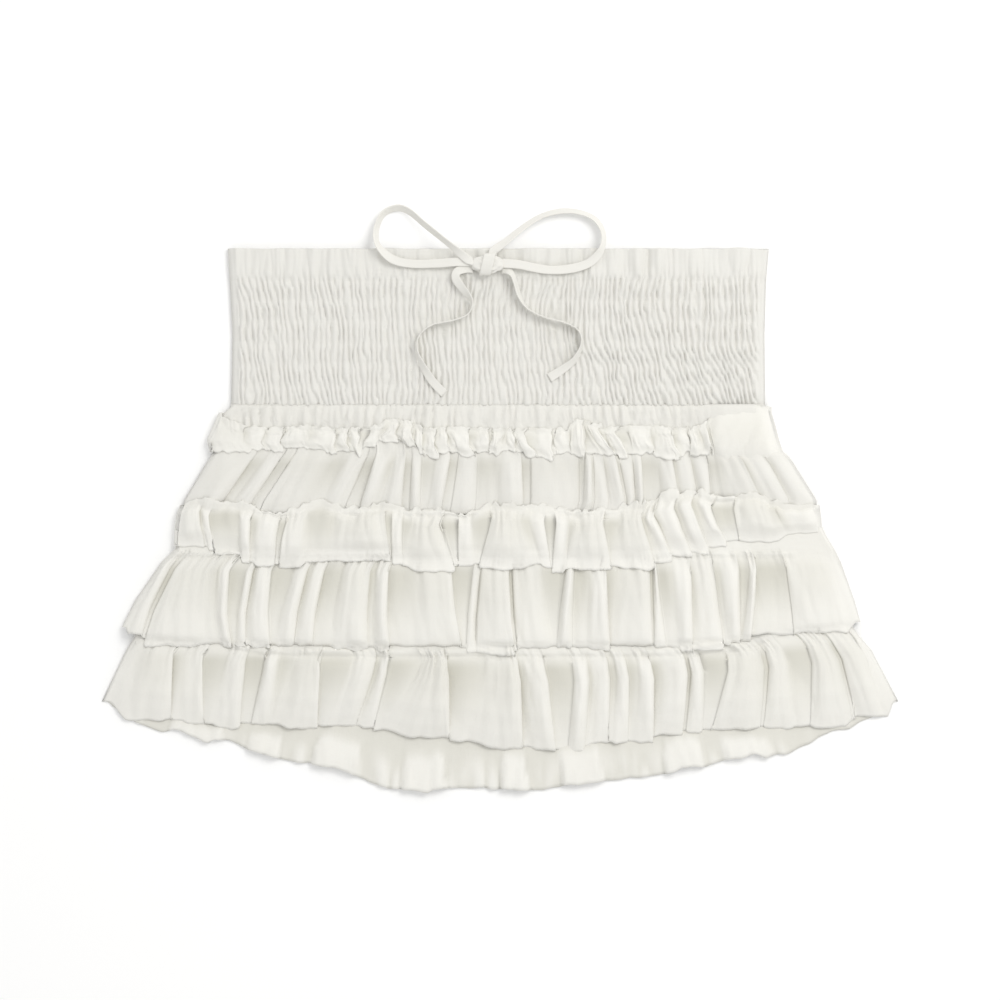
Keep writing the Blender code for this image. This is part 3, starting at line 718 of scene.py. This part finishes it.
def tier_rings(sides, head, hem, rows, folds, downs, detail, open_at, retreat=1.4, spacing=1.35,
               back_hem=None, backs=48, back_lift=None, follow=0.75, rests=()):
    """Rings of one tier, a front wall with folds over a flat back wall, from its upper edge to its hem. Its
    folds open at the share open_at of the way down, and follow is how far the cloth above stays straight over
    them. The hem draws up by retreat between folds, and rests are what the tier lies on."""
    columns = fold_columns(folds, (hem[0].y, hem[-1].y), spacing, retreat)
    top_low = between(head[0].y, hem[0].y, open_at), between(head[-1].y, hem[-1].y, open_at)
    top_ends = along(sides, "y", top_low[0], "left"), along(sides, "y", top_low[1], "right")
    rings = []
    for down in downs:
        left, right = corners_at(sides, head, hem, down)
        valley, swell, back = (along(rows, "down", down, wanted) for wanted in ("valley", "swell", "back"))
        left.z = right.z = (valley + back) / 2
        first, last = left.x + ROLL, right.x - ROLL
        ring = [left]
        for column in columns:
            high = min(max((column.top - top_ends[0]) / (top_ends[1] - top_ends[0]), 0), 1)
            even = between(column.place / columns[-1].place, high, follow)
            low = (column.foot - folds[0].left) / (folds[-1].right - folds[0].left)
            x = between(first, last, min(max(line_down(even, high, low, open_at, down), 0), 1))
            x += column.curl * smooth(swell / 0.4)
            y = between(along(head, "x", x, "y"), column.hem, down)
            dx, dy, dz = detail(column.place, x, y, down)
            calm = smooth(min(column.place, columns[-1].place - column.place) / 9)
            # Painted light and shade: slight painted shade where the cloth is gathered tight, deep painted
            # shade in the valleys between its folds, and less of it towards the hem.
            painted_light_share = between(GATHERED_PAINTED_LIGHT, column.doubled, min(swell / 0.5, 1))
            painted_light_share = between(painted_light_share, 1, HEM_PAINTED_LIGHT * smooth((down - open_at) / (HEM_PAINTED_LIGHT_AT - open_at)))
            point = Vector((x + dx * calm, y + dy * calm, valley + column.rise * swell + dz * calm, painted_light_share))
            point.z = settled(point, column.rise * swell, down, rests)
            ring.append(point)
        ring[1].y, ring[-1].y = left.y, right.y
        ring.append(right)
        for step in range(backs + 1):
            share = step / backs
            at = between((back_hem or hem)[-1].x, (back_hem or hem)[0].x, share)
            y = between(along(head, "x", at, "y"), along(back_hem or hem, "x", at, "y"), down)
            y = between(y, right.y if share < 0.5 else left.y, 1 - smooth(min(share, 1 - share) * backs / 2))
            lift = back_lift(share, down) if back_lift else 0
            y += 0.7 * ripple(at / 8, 0, 45) * near_hem(down) * smooth(min(share, 1 - share) * 9)
            # Painted shade on the flat back wall, painted lighter where its pleats lift.
            painted_light_share = 0.4 + 0.6 * smooth(lift / 2)
            ring.append(Vector((between(right.x - ROLL, left.x + ROLL, share), y, back + lift, painted_light_share)))
        rings.append(ring)
    return rings


def steps_down(*stops):
    """Shares of the way down a tier. A stop is a share, and the number of rows to it from the one before."""
    downs = [stops[0][0]]
    for before, (down, rows) in zip(stops, stops[1:]):
        downs += [between(before[0], down, step / rows) for step in range(1, rows + 1)]
    return downs


def level_edge(y):
    """An upper edge or a hem that lies level, from far left to far right."""
    return Edge(-300, y), Edge(300, y)


def gathered_row(name, node, rings, tint, cut):
    """Makes rings of cloth a piece of gathered voile, and keeps its surface for what rests on it."""
    bm = wrapped_grid(in_metres(rings))
    surfaces[node] = BVHTree.FromBMesh(bm)
    return sewn_piece(name, bm, voile(node + "_voile", tint, cut, PAINTED_SHADE_LEVEL), node, CLOTH_THICK * MM)


def top_tier_detail(place, x, y, down):
    """Tight gathers down to the seam of the narrow frill, and creases in the folds below it."""
    above = smooth((y - FRILL_SEAM) / 3)
    upper = 2.1 * ridges(x / 5.4, y / 40, 51) + 0.7 * ridges(x / 2.7, y / 9, 52)
    upper *= (0.5 + 0.5 * smooth((BAND_END + 1 - y) / 3)) * (1 - 0.85 * smooth((x - PUFF_START) / 14))
    below = gathers(place, FRILL_SEAM - y, 53) * (1 - above)
    below += creases(place, y, 57) * smooth((FRILL_SEAM - 10 - y) / 8)
    caught = smooth((y - TOP_END) / 4)
    end = 1.2 * abs(ripple(x / 2.6, 0, 59)) * (1 - caught)
    bulge = 3.4 * smooth((x - PUFF_START - 4) / 16) * smooth((y - 6) / 24)
    return 0, 0, upper * above + below * (0.25 + 0.75 * caught) + end + bulge


top_rings = tier_rings(
    TOP_SIDES, level_edge(TOP_START), level_edge(TOP_END), TOP_ROWS, TOP_FOLDS,
    steps_down((0, 0), (0.22, 9), (0.45, 9), (0.9, 18), (1, 6)), top_tier_detail, open_at=0.43,
    retreat=0, follow=0,
)
top_tier = gathered_row("gathered_top_tier", "top_tier", top_rings, TOP_VOILE, TOP_CUT)

# Narrow frill.
# A thin strip of voile, gathered along its upper edge and stitched on the top tier. Its free edge lies in
# small uneven folds that lean, cross and curl, and at the right it is one broad puff.
FRILL_VOILE = (0.845, 0.836, 0.797)
FRILL_CUT = (1.0, 0.019)
FRILL_STITCHES = 0.13  # how far down it the gathering stitches lie
FRILL_SIDES = each(Side, (
    (70, -180, 174), (59.4, -184.6, 177), (52, -188, 178.8), (44.4, -186, 181.4),
))
FRILL_HEAD = each(Edge, (
    (-190, 69.5), (-176, 66.5), (-160, 60.3), (-137, 60),
    (-128, 61.5), (-100, 59.4), (-82, 60), (-70, 66),
    (-58, 64.5), (-48, 59.6), (-30, 60.8), (0, 59),
    (43, 59.6), (49, 65.5), (57, 64.5), (68, 60),
    (92, 61.4), (120, 59.6), (130, 62.5), (140, 71),
    (150, 74.4), (180, 73.4),
))
FRILL_ROWS = each(Row, (
    (0, 7.6, 0.2), (FRILL_STITCHES, 7.8, 0.15), (0.4, 8, 0.44), (0.75, 8, 0.5), (1, 7.1, 0.3),
))
FRILL_FOLDS = each(Fold, (
    (-187, -166, -187, -162, 3, 0.1, 44),
    (-164, -152, -161, -152, 2.5, 0.3, 45.2),
    (-151, -140, -150, -141, 3, 0.4, 44.2),
    (-139, -123, -141, -122, 6, -0.3, 46.8),
    (-121, -106, -121, -105, 4, 0.8, 43.2),
    (-104, -98, -104, -97, 6, 0.3, 44.4),
    (-97, -91, -94, -88, 5, 0.5, 42),
    (-84, -74, -89, -79, 3, -0.2, 47.6),
    (-73, -65, -78, -67, 4, 0.2, 50.6),
    (-64, -56, -66, -55, 7, 0.5, 48.2),
    (-55, -50, -54, -48, 4, 0.3, 42.6),
    (-48, -41, -47, -39, 6, 0.2, 40),
    (-40, -35, -38, -31, 6, 0.4, 44),
    (-34, -20, -30, -18, 5, 0.6, 41.2),
    (-15, -7, -16, -7, 5, 0.3, 44.2),
    (-5, 3, -7, 3, 6, -0.3, 42.6),
    (4, 9, 5, 11, 4, 0.2, 44.6),
    (8, 16, 14, 24, 7, 0.5, 41.2),
    (22, 34, 25, 34, 5, 0.6, 38.6),
    (36, 45, 36, 44, 3, -0.2, 43.4),
    (46, 54, 45, 55, 8, 0.5, 40.6),
    (57, 64, 66, 74, 6, 0.4, 42.4),
    (68, 75, 77, 84, 6, 0.5, 40),
    (83, 98, 86, 99, 5, 0.1, 43),
    (101, 112, 101, 116, 6, 0.5, 39),
    (115, 121, 117, 123, 3, 0.2, 43.6),
    (122, 128, 123, 131, 6, -0.3, 41.4),
    (129, 134, 132, 137, 4, 0.3, 42),
    (136, 178, 138, 181, 2, 0, 31),
))


def frill_detail(place, x, y, down):
    """How the frill strays: tufts over its stitches, crumpled folds, a curling free edge, and the puff."""
    puff = smooth((x - PUFF_START) / 18)
    loose, free = smooth((down - 0.1) / 0.5) * (1 - puff), smooth((down - 0.5) / 0.5) * (1 - puff)
    tuft = 1 - smooth(down / FRILL_STITCHES)
    rough = 0.35 + 0.65 * smooth((x + 146) / 20)
    dx = 2.0 * ripple(place / 8, down * 1.5, 61) * loose * rough
    dy = 1.7 * ripple(place / 4.5, 0, 62) * tuft * (1 - puff) + 1.5 * ripple(place / 4.5, 0, 64) * free
    curl, crumple = max(ripple(place / 7, down, 65), -0.2), abs(ripple(place / 3.6, down * 1.7, 66))
    dz = (2.2 * curl * free + 1.4 * crumple * (1 - puff)) * rough
    dz -= 1.2 * near(down - FRILL_STITCHES, 0.06) * (1 - puff)
    bulge = math.sin(math.pi * min(max(down, 0), 1))
    ridge = 4.0 * abs(ripple((x - 0.55 * y) / 10, (x + y) / 45, 67)) * (0.25 + 0.75 * down)
    dy += 1.6 * ripple(x / 7, 0, 68) * puff * (1 - down) ** 2
    return dx, dy, dz + puff * (4.6 * bulge + ridge * bulge - 1.8 * near_hem(down))


def frill_share(x, y, down):
    """How far the frill's edges rest on the top tier, which the puff at its right end doesn't."""
    return max(smooth((0.3 - down) / 0.3), near_hem(down)) * smooth((PUFF_START + 10 - x) / 16)


def puff_share(x, y, down):
    """How far the puff's upper edge rests on the waistband."""
    return smooth((0.3 - down) / 0.3) * smooth((x - PUFF_START - 4) / 12)


frill_hem = (Edge(-187, 44.4), Edge(181, 36))
frill_rings = tier_rings(
    FRILL_SIDES, FRILL_HEAD, frill_hem, FRILL_ROWS, FRILL_FOLDS,
    steps_down((0, 0), (FRILL_STITCHES, 3), (0.4, 6), (1, 9)), frill_detail, open_at=0.2,
    spacing=0.95, rests=(Rest(surfaces["top_tier"], frill_share), Rest(surfaces["waistband"], puff_share)),
)
frill = gathered_row("curled_frill", "narrow_frill", frill_rings, FRILL_VOILE, FRILL_CUT)

# Bottom tier.
# The widest strip of voile, gathered to a small heading under the hem of the middle tier. Its front hem
# hangs in deep folds, and its back hem, which shows below, is longer and lies in soft waves on the table.
LOWER_VOILE = (0.838, 0.829, 0.79)
BOTTOM_CUT = (1.3, 0.08)
BOTTOM_HEM = -115.7
BOTTOM_SEAM_DROP = 11  # from the upper edge down to the gathering stitches, but less towards the sides
PINCH = 0.9  # how deep the gathering stitches draw the cloth in
BOTTOM_SIDES = each(Side, (
    (-62, -230, 222), (-74.7, -234.6, 231), (-82.4, -239.6, 238), (BOTTOM_HEM, -255.6, 255.6),
))
BOTTOM_HEAD = each(Edge, (
    (-256, -68.4), (-205, -73), (-100, -75.6), (100, -75.6),
    (160, -71.5), (188, -66.5), (228, -63), (256, -62),
))
BOTTOM_BACK_HEM = each(Edge, (
    (-256, BOTTOM_HEM), (-237, -128.9), (-219, -135.8), (-211, -133),
    (-190, -142.6), (-186, -140.2), (-176, -140.4), (-162, -147),
    (-139, -153.4), (-105, -158.6), (-89, -165.3), (-74, -171.6),
    (-52, -172.8), (-47, -174.4), (-43, -171.8), (-22, -171),
    (22, -172.8), (45, -169.4), (94, -164), (114, -160.8),
    (118, -158), (135, -157), (146, -153.3), (167, -149.6),
    (172, -151.2), (185, -149.6), (201, -142.8), (206, -139),
    (216, -134.6), (226, -133.6), (234, -128.6), (244, -125),
    (256, BOTTOM_HEM),
))
BOTTOM_ROWS = each(Row, (
    (0, 5.2, 0, 1.5), (0.12, 5.2, 0.06, 1.5), (0.18, 5.4, 0.16, 1.4), (0.3, 4.1, 0.62, 0.5),
    (0.45, 3.5, 0.82), (0.68, 3.2, 0.76), (0.86, 2, 0.44), (1, 0.8, 0.06),
))
BOTTOM_FOLDS = each(Fold, (
    (-239, -211, -255, -212, 8, 0.8, -127.6),
    (-205, -192, -210, -191, 5, 0.8, -130.4),
    (-177, -164, -187, -168, 7, 0.4, -133),
    (-152, -142, -161, -148, 6, -0.2, -130.4),
    (-134, -116, -147, -118, 8, 0.7, -133),
    (-97, -80, -113, -93, 8, 0.2, -131.7),
    (-78, -72, -92, -82, 4, 0.5, -133),
    (-51, -34, -77, -32, 12, 0.8, -138.7),
    (-10, 12, -20, 15, 12, 0.7, -146.4),
    (13, 29, 17, 36, 8, 0.4, -147),
    (47, 57, 44, 55, 9, 0, -148.3),
    (58, 70, 56, 70, 5, 0.2, -142.6),
    (74, 82, 72, 83, 5, 0.2, -142.6),
    (88, 98, 86, 99, 7, 0.6, -142.6),
    (103, 120, 100, 118, 8, 0.5, -136.8),
    (122, 130, 120, 131, 6, 0, -135.5),
    (147, 169, 136, 168, 9, -0.1, -133.6),
    (172, 184, 170, 192, 7, -0.2, -133),
    (199, 214, 200, 228, 9, -0.1, -132.3),
    (216, 239, 230, 255, 7, -0.3, -125.9),
))


def heading(place, y, top, seam, seed):
    """How the small heading above a gathering seam stands: lobes along its edge, drawn in at the stitches."""
    lobes = ridges(place / 8.5, y / 30, seed)
    tufts = max(ripple(place / 19, 0, seed + 2.2), -0.7)
    up = smooth((y - seam) / max(top - seam, 0.1))
    height = 2.8 * lobes - 1.6 + 2.0 * tufts + 0.9 * ripple(place / 3, 0, seed + 4.1)
    return 1.2 * tufts * up, height * up, (2.4 * lobes + tufts) * up - PINCH * near(y - seam, 1.1)


def hanging(place, y, below, down, seed, gathered=1, stitch=1.3):
    """How the cloth some way below its gathering stitches strays: gathers, creases, and a hem that sways."""
    free = near_hem(down)
    dx, dy = 0.5 * ripple(place / 12, 0, seed + 2) * free, 0.8 * ripple(place / 8, 0, seed + 3.7) * free
    soft = gathers(place, below, seed + 1) * gathered + creases(place, y, seed + 4) * smooth(below / 8)
    return dx, dy, soft - PINCH * near(below, stitch) * gathered


def bottom_detail(place, x, y, down):
    """The bottom tier's small heading, and the cloth that hangs below it."""
    drop = BOTTOM_SEAM_DROP - 7 * smooth((abs(x) - 150) / 40)
    below = (along(BOTTOM_HEAD, "x", x, "y") - y) - drop
    if below < 0:
        dx, dy, dz = heading(place, -below, 4, 0, 91)
        return 0, 0, (dz + gathers(place, below, 92)) * (1 - smooth((-below / drop - 0.3) / 0.25))
    return hanging(place, y, below, down, 91)


def back_waves(share, down):
    """The back hem lies in soft pleats, which flatten out up under the front."""
    x = between(BOTTOM_BACK_HEM[-1].x, BOTTOM_BACK_HEM[0].x, share)
    pleat = smooth((ripple(x / 24, down * 0.6, 97) + 0.1) / 0.09)
    wave = 0.4 + 3.6 * pleat + 2.2 * abs(ripple(x / 9, down * 2, 98))
    start = 0.67 + 0.12 * smooth((abs(x) - 110) / 60)
    wave *= smooth((down - start) / (0.99 - start)) * (0.35 + 0.65 * smooth((215 - abs(x)) / 80))
    return wave * smooth(min(share, 1 - share) * 12)


bottom_rings = tier_rings(
    BOTTOM_SIDES, BOTTOM_HEAD, level_edge(BOTTOM_HEM), BOTTOM_ROWS, BOTTOM_FOLDS,
    steps_down((0, 0), (0.12, 4), (0.25, 9), (1, 27)), bottom_detail, open_at=0.245,
    back_hem=BOTTOM_BACK_HEM, backs=230, back_lift=back_waves,
)
bottom_tier = gathered_row("gathered_bottom_tier", "bottom_tier", bottom_rings, LOWER_VOILE, BOTTOM_CUT)

# Middle tier.
# A strip of voile with a plain upper part that hangs from the seam under the short flounce. Lower down it is
# gathered to a small heading, below which its folds open to a free hem.
MIDDLE_CUT = (1.2, 0.085)
MIDDLE_START, MIDDLE_HEADING, MIDDLE_SEAM = 3.9, -19, -23
MIDDLE_PLAIN = 182  # from here to the right it isn't gathered
MIDDLE_SIDES = each(Side, (
    (MIDDLE_START, -204.6, 203), (-10, -205.6, 209), (-17.5, -208, 214), (-26, -217, 218.4),
    (-50, -233.6, 227), (-67.7, -242.4, 232),
))
MIDDLE_ROWS = each(Row, (
    (0, 6.4, 0, 1.5), (0.26, 6.4, 0, 1.5), (0.34, 6, 0.12, 1), (0.45, 4.9, 0.54, 0.4),
    (0.58, 4.3, 0.82), (0.8, 4.6, 0.76), (0.9, 5.6, 0.56), (1, 6.1, 0.3),
))
MIDDLE_FOLDS = each(Fold, (
    (-223, -214, -241, -230, 6, 0.2, -72.2),
    (-212, -183, -229, -182, 9, -0.5, -79.8),
    (-182, -175, -180, -172, 10, 0.5, -80.5),
    (-165, -160, -170, -163, 5, 0.2, -79.8),
    (-159, -148, -161, -147, 7, 0.3, -80.5),
    (-135, -125, -145, -132, 7, 0.2, -79.8),
    (-124, -114, -131, -120, 7, 0.4, -79.8),
    (-103, -84, -109, -84, 10, 0.2, -81.8),
    (-81, -72, -81, -70, 9, 0.4, -82.4),
    (-56, -31, -54, -24, 10, 0.5, -79.8),
    (-18, -13, -21, -15, 3, 0, -83.7),
    (-12, 6, -14, 11, 11, 0.7, -86.2),
    (8, 28, 12, 36, 5, -0.2, -81.1),
    (42, 48, 37, 47, 9, 0, -81.1),
    (58, 69, 56, 72, 10, 0.5, -82.4),
    (75, 97, 73, 99, 9, 0.5, -79.8),
    (99, 102, 100, 108, 4, 0, -81.1),
    (111, 124, 115, 125, 8, 0.4, -83.7),
    (125, 139, 127, 145, 5, 0.2, -82.4),
    (142, 155, 148, 156, 7, 0.2, -77.9),
    (161, 166, 156, 163, 9, 0.2, -76.6),
    (185, 220, 190, 231, 8, -0.2, -70.9),
))


def middle_detail(place, x, y, down):
    """The middle tier's plain upper part, small heading and hanging cloth."""
    gathered = 1 - smooth((x - MIDDLE_PLAIN) / 10)
    if y > MIDDLE_HEADING:
        return 0, 0, 0
    if y > MIDDLE_SEAM:
        dx, dy, dz = heading(place, y, MIDDLE_HEADING, MIDDLE_SEAM, 81)
        covered = (1 - 0.35 * smooth((y - MIDDLE_SEAM) / 2)) * (1 - smooth((y - MIDDLE_HEADING + 1.5) / 1.5))
        return dx, 0, (dz + gathers(place, MIDDLE_SEAM - y, 82)) * covered * gathered
    return hanging(place, y, MIDDLE_SEAM - y, down, 81, gathered)


def middle_share(x, y, down):
    """How far the middle tier rests on the bottom tier, whose heading lies under its hem."""
    return smooth((along(BOTTOM_HEAD, "x", x, "y") - 1 - y) / 4)


middle_hem = (Edge(-242, -67.7), Edge(232, -64.5))
middle_rings = tier_rings(
    MIDDLE_SIDES, level_edge(MIDDLE_START), middle_hem, MIDDLE_ROWS, MIDDLE_FOLDS,
    steps_down((0, 0), (0.24, 3), (0.34, 8), (0.45, 6), (1, 24)), middle_detail, open_at=0.455,
    rests=(Rest(surfaces["bottom_tier"], middle_share),),
)
middle_tier = gathered_row("gathered_middle_tier", "middle_tier", middle_rings, LOWER_VOILE, MIDDLE_CUT)

# Short flounce.
# A gathered strip of voile, sewn over the seam of the top and middle tiers. A small heading stands above its
# gathering stitches, and below them it opens in folds whose hem hangs free.
FLOUNCE_VOILE = (0.843, 0.834, 0.796)
FLOUNCE_CUT = (1.02, 0.034)
FLOUNCE_HEADING = 4.2  # from its upper edge down to its gathering stitches
FLOUNCE_HEAD = each(Edge, (
    (-300, 10.4), (-202, 11), (-191, 16.5), (-178, 15),
    (-164, 10.4), (92, 10.4), (102, 18.5), (150, 20.5),
    (168, 17), (188, 11.5), (300, 10.4),
))
FLOUNCE_SIDES = each(Side, (
    (10.4, -205, 204.6), (4, -207.4, 205.6), (-3.7, -208.4, 206.2), (-16, -208.8, 208.2),
))
FLOUNCE_ROWS = each(Row, (
    (0, 7.9, 0), (0.12, 8.1, 0.05), (0.24, 8.4, 0.48), (0.45, 8.2, 0.68),
    (0.7, 8.2, 0.6), (1, 8.1, 0.32),
))
FLOUNCE_FOLDS = each(Fold, (
    (-207, -194, -208, -190, 6, 0.3, -16.5),
    (-193, -188, -189, -184, 4, 0.5, -19),
    (-169, -161, -168, -161, 7, 0.3, -26.7),
    (-158, -143, -160, -145, 6, 0.2, -28.6),
    (-139, -124, -143, -124, 8, -0.4, -29.9),
    (-109, -74, -114, -70, 10, 0.3, -25.4),
    (-70, -63, -70, -63, 5, 0, -28),
    (-58, -38, -63, -29, 9, 0.3, -32.5),
    (-27, -17, -27, -16, 4, -0.2, -28.6),
    (-6, 15, -14, 24, 10, -0.3, -30.6),
    (19, 29, 26, 33, 5, 0.4, -29.3),
    (36, 45, 33, 42, 6, -0.3, -33.1),
    (47, 67, 42, 72, 10, 0.5, -31.2),
    (76, 92, 72, 100, 9, 0.4, -30.6),
    (93, 100, 102, 111, 6, 0.3, -26.1),
    (100, 113, 112, 124, 7, 0.4, -22.9),
    (115, 124, 125, 135, 6, 0.4, -21),
    (127, 137, 137, 146, 6, 0.3, -16.5),
    (151, 178, 154, 186, 7, -0.2, -13.3),
    (180, 203, 189, 205, 3, 0.3, -7),
))


def flounce_detail(place, x, y, down):
    """The flounce's heading and hanging cloth, and the drift of its upper edge and its seam."""
    inner = smooth((x + 202) / 14) * smooth((192 - x) / 30)
    drift = (4.6 * ripple(x / 23, 0.5, 70.5) + 1.2 * ripple(place / 6, 0.5, 76.5)) * smooth((y + 10) / 14)
    top = along(FLOUNCE_HEAD, "x", x, "y")
    seam = top - FLOUNCE_HEADING
    if y > seam:
        dx, dy, dz = heading(place, y, top, seam, 71)
        sunk = 4.5 * (1 - inner) * smooth((y - seam) / 2)
        return dx, dy * inner + drift, (dz + gathers(place, seam - y, 72)) * inner - sunk
    dx, dy, dz = hanging(place, y, seam - y, down, 71, stitch=1.2)
    return dx, dy + drift, dz


def heading_share(x, y, down):
    """How far the flounce rests on the top tier: its heading wholly, and the rest of it hardly."""
    return 0.02 + 0.98 * smooth((y - along(FLOUNCE_HEAD, "x", x, "y") + 5.6) / 3)


flounce_hem = (Edge(-208, -16), Edge(206, -3.7))
flounce_rings = tier_rings(
    FLOUNCE_SIDES, FLOUNCE_HEAD, flounce_hem, FLOUNCE_ROWS, FLOUNCE_FOLDS,
    steps_down((0, 0), (0.11, 4), (0.3, 8), (1, 18)), flounce_detail, open_at=0.3,
    retreat=2, rests=(
        Rest(surfaces["top_tier"], heading_share),
        Rest(surfaces["middle_tier"], lambda x, y, down: near_hem(down)),
    ),
)
flounce = gathered_row("headed_flounce", "short_flounce", flounce_rings, FLOUNCE_VOILE, FLOUNCE_CUT)

# The finished sizes.
# The box round the pieces made here.
seen_low, seen_high = Vector((9, 9, 9)), Vector((-9, -9, -9))
for piece in tape_pieces + [waistband, top_tier, frill, flounce, middle_tier, bottom_tier]:
    for vertex in piece.data.vertices:
        for axis in range(3):
            seen_low[axis] = min(seen_low[axis], vertex.co[axis])
            seen_high[axis] = max(seen_high[axis], vertex.co[axis])
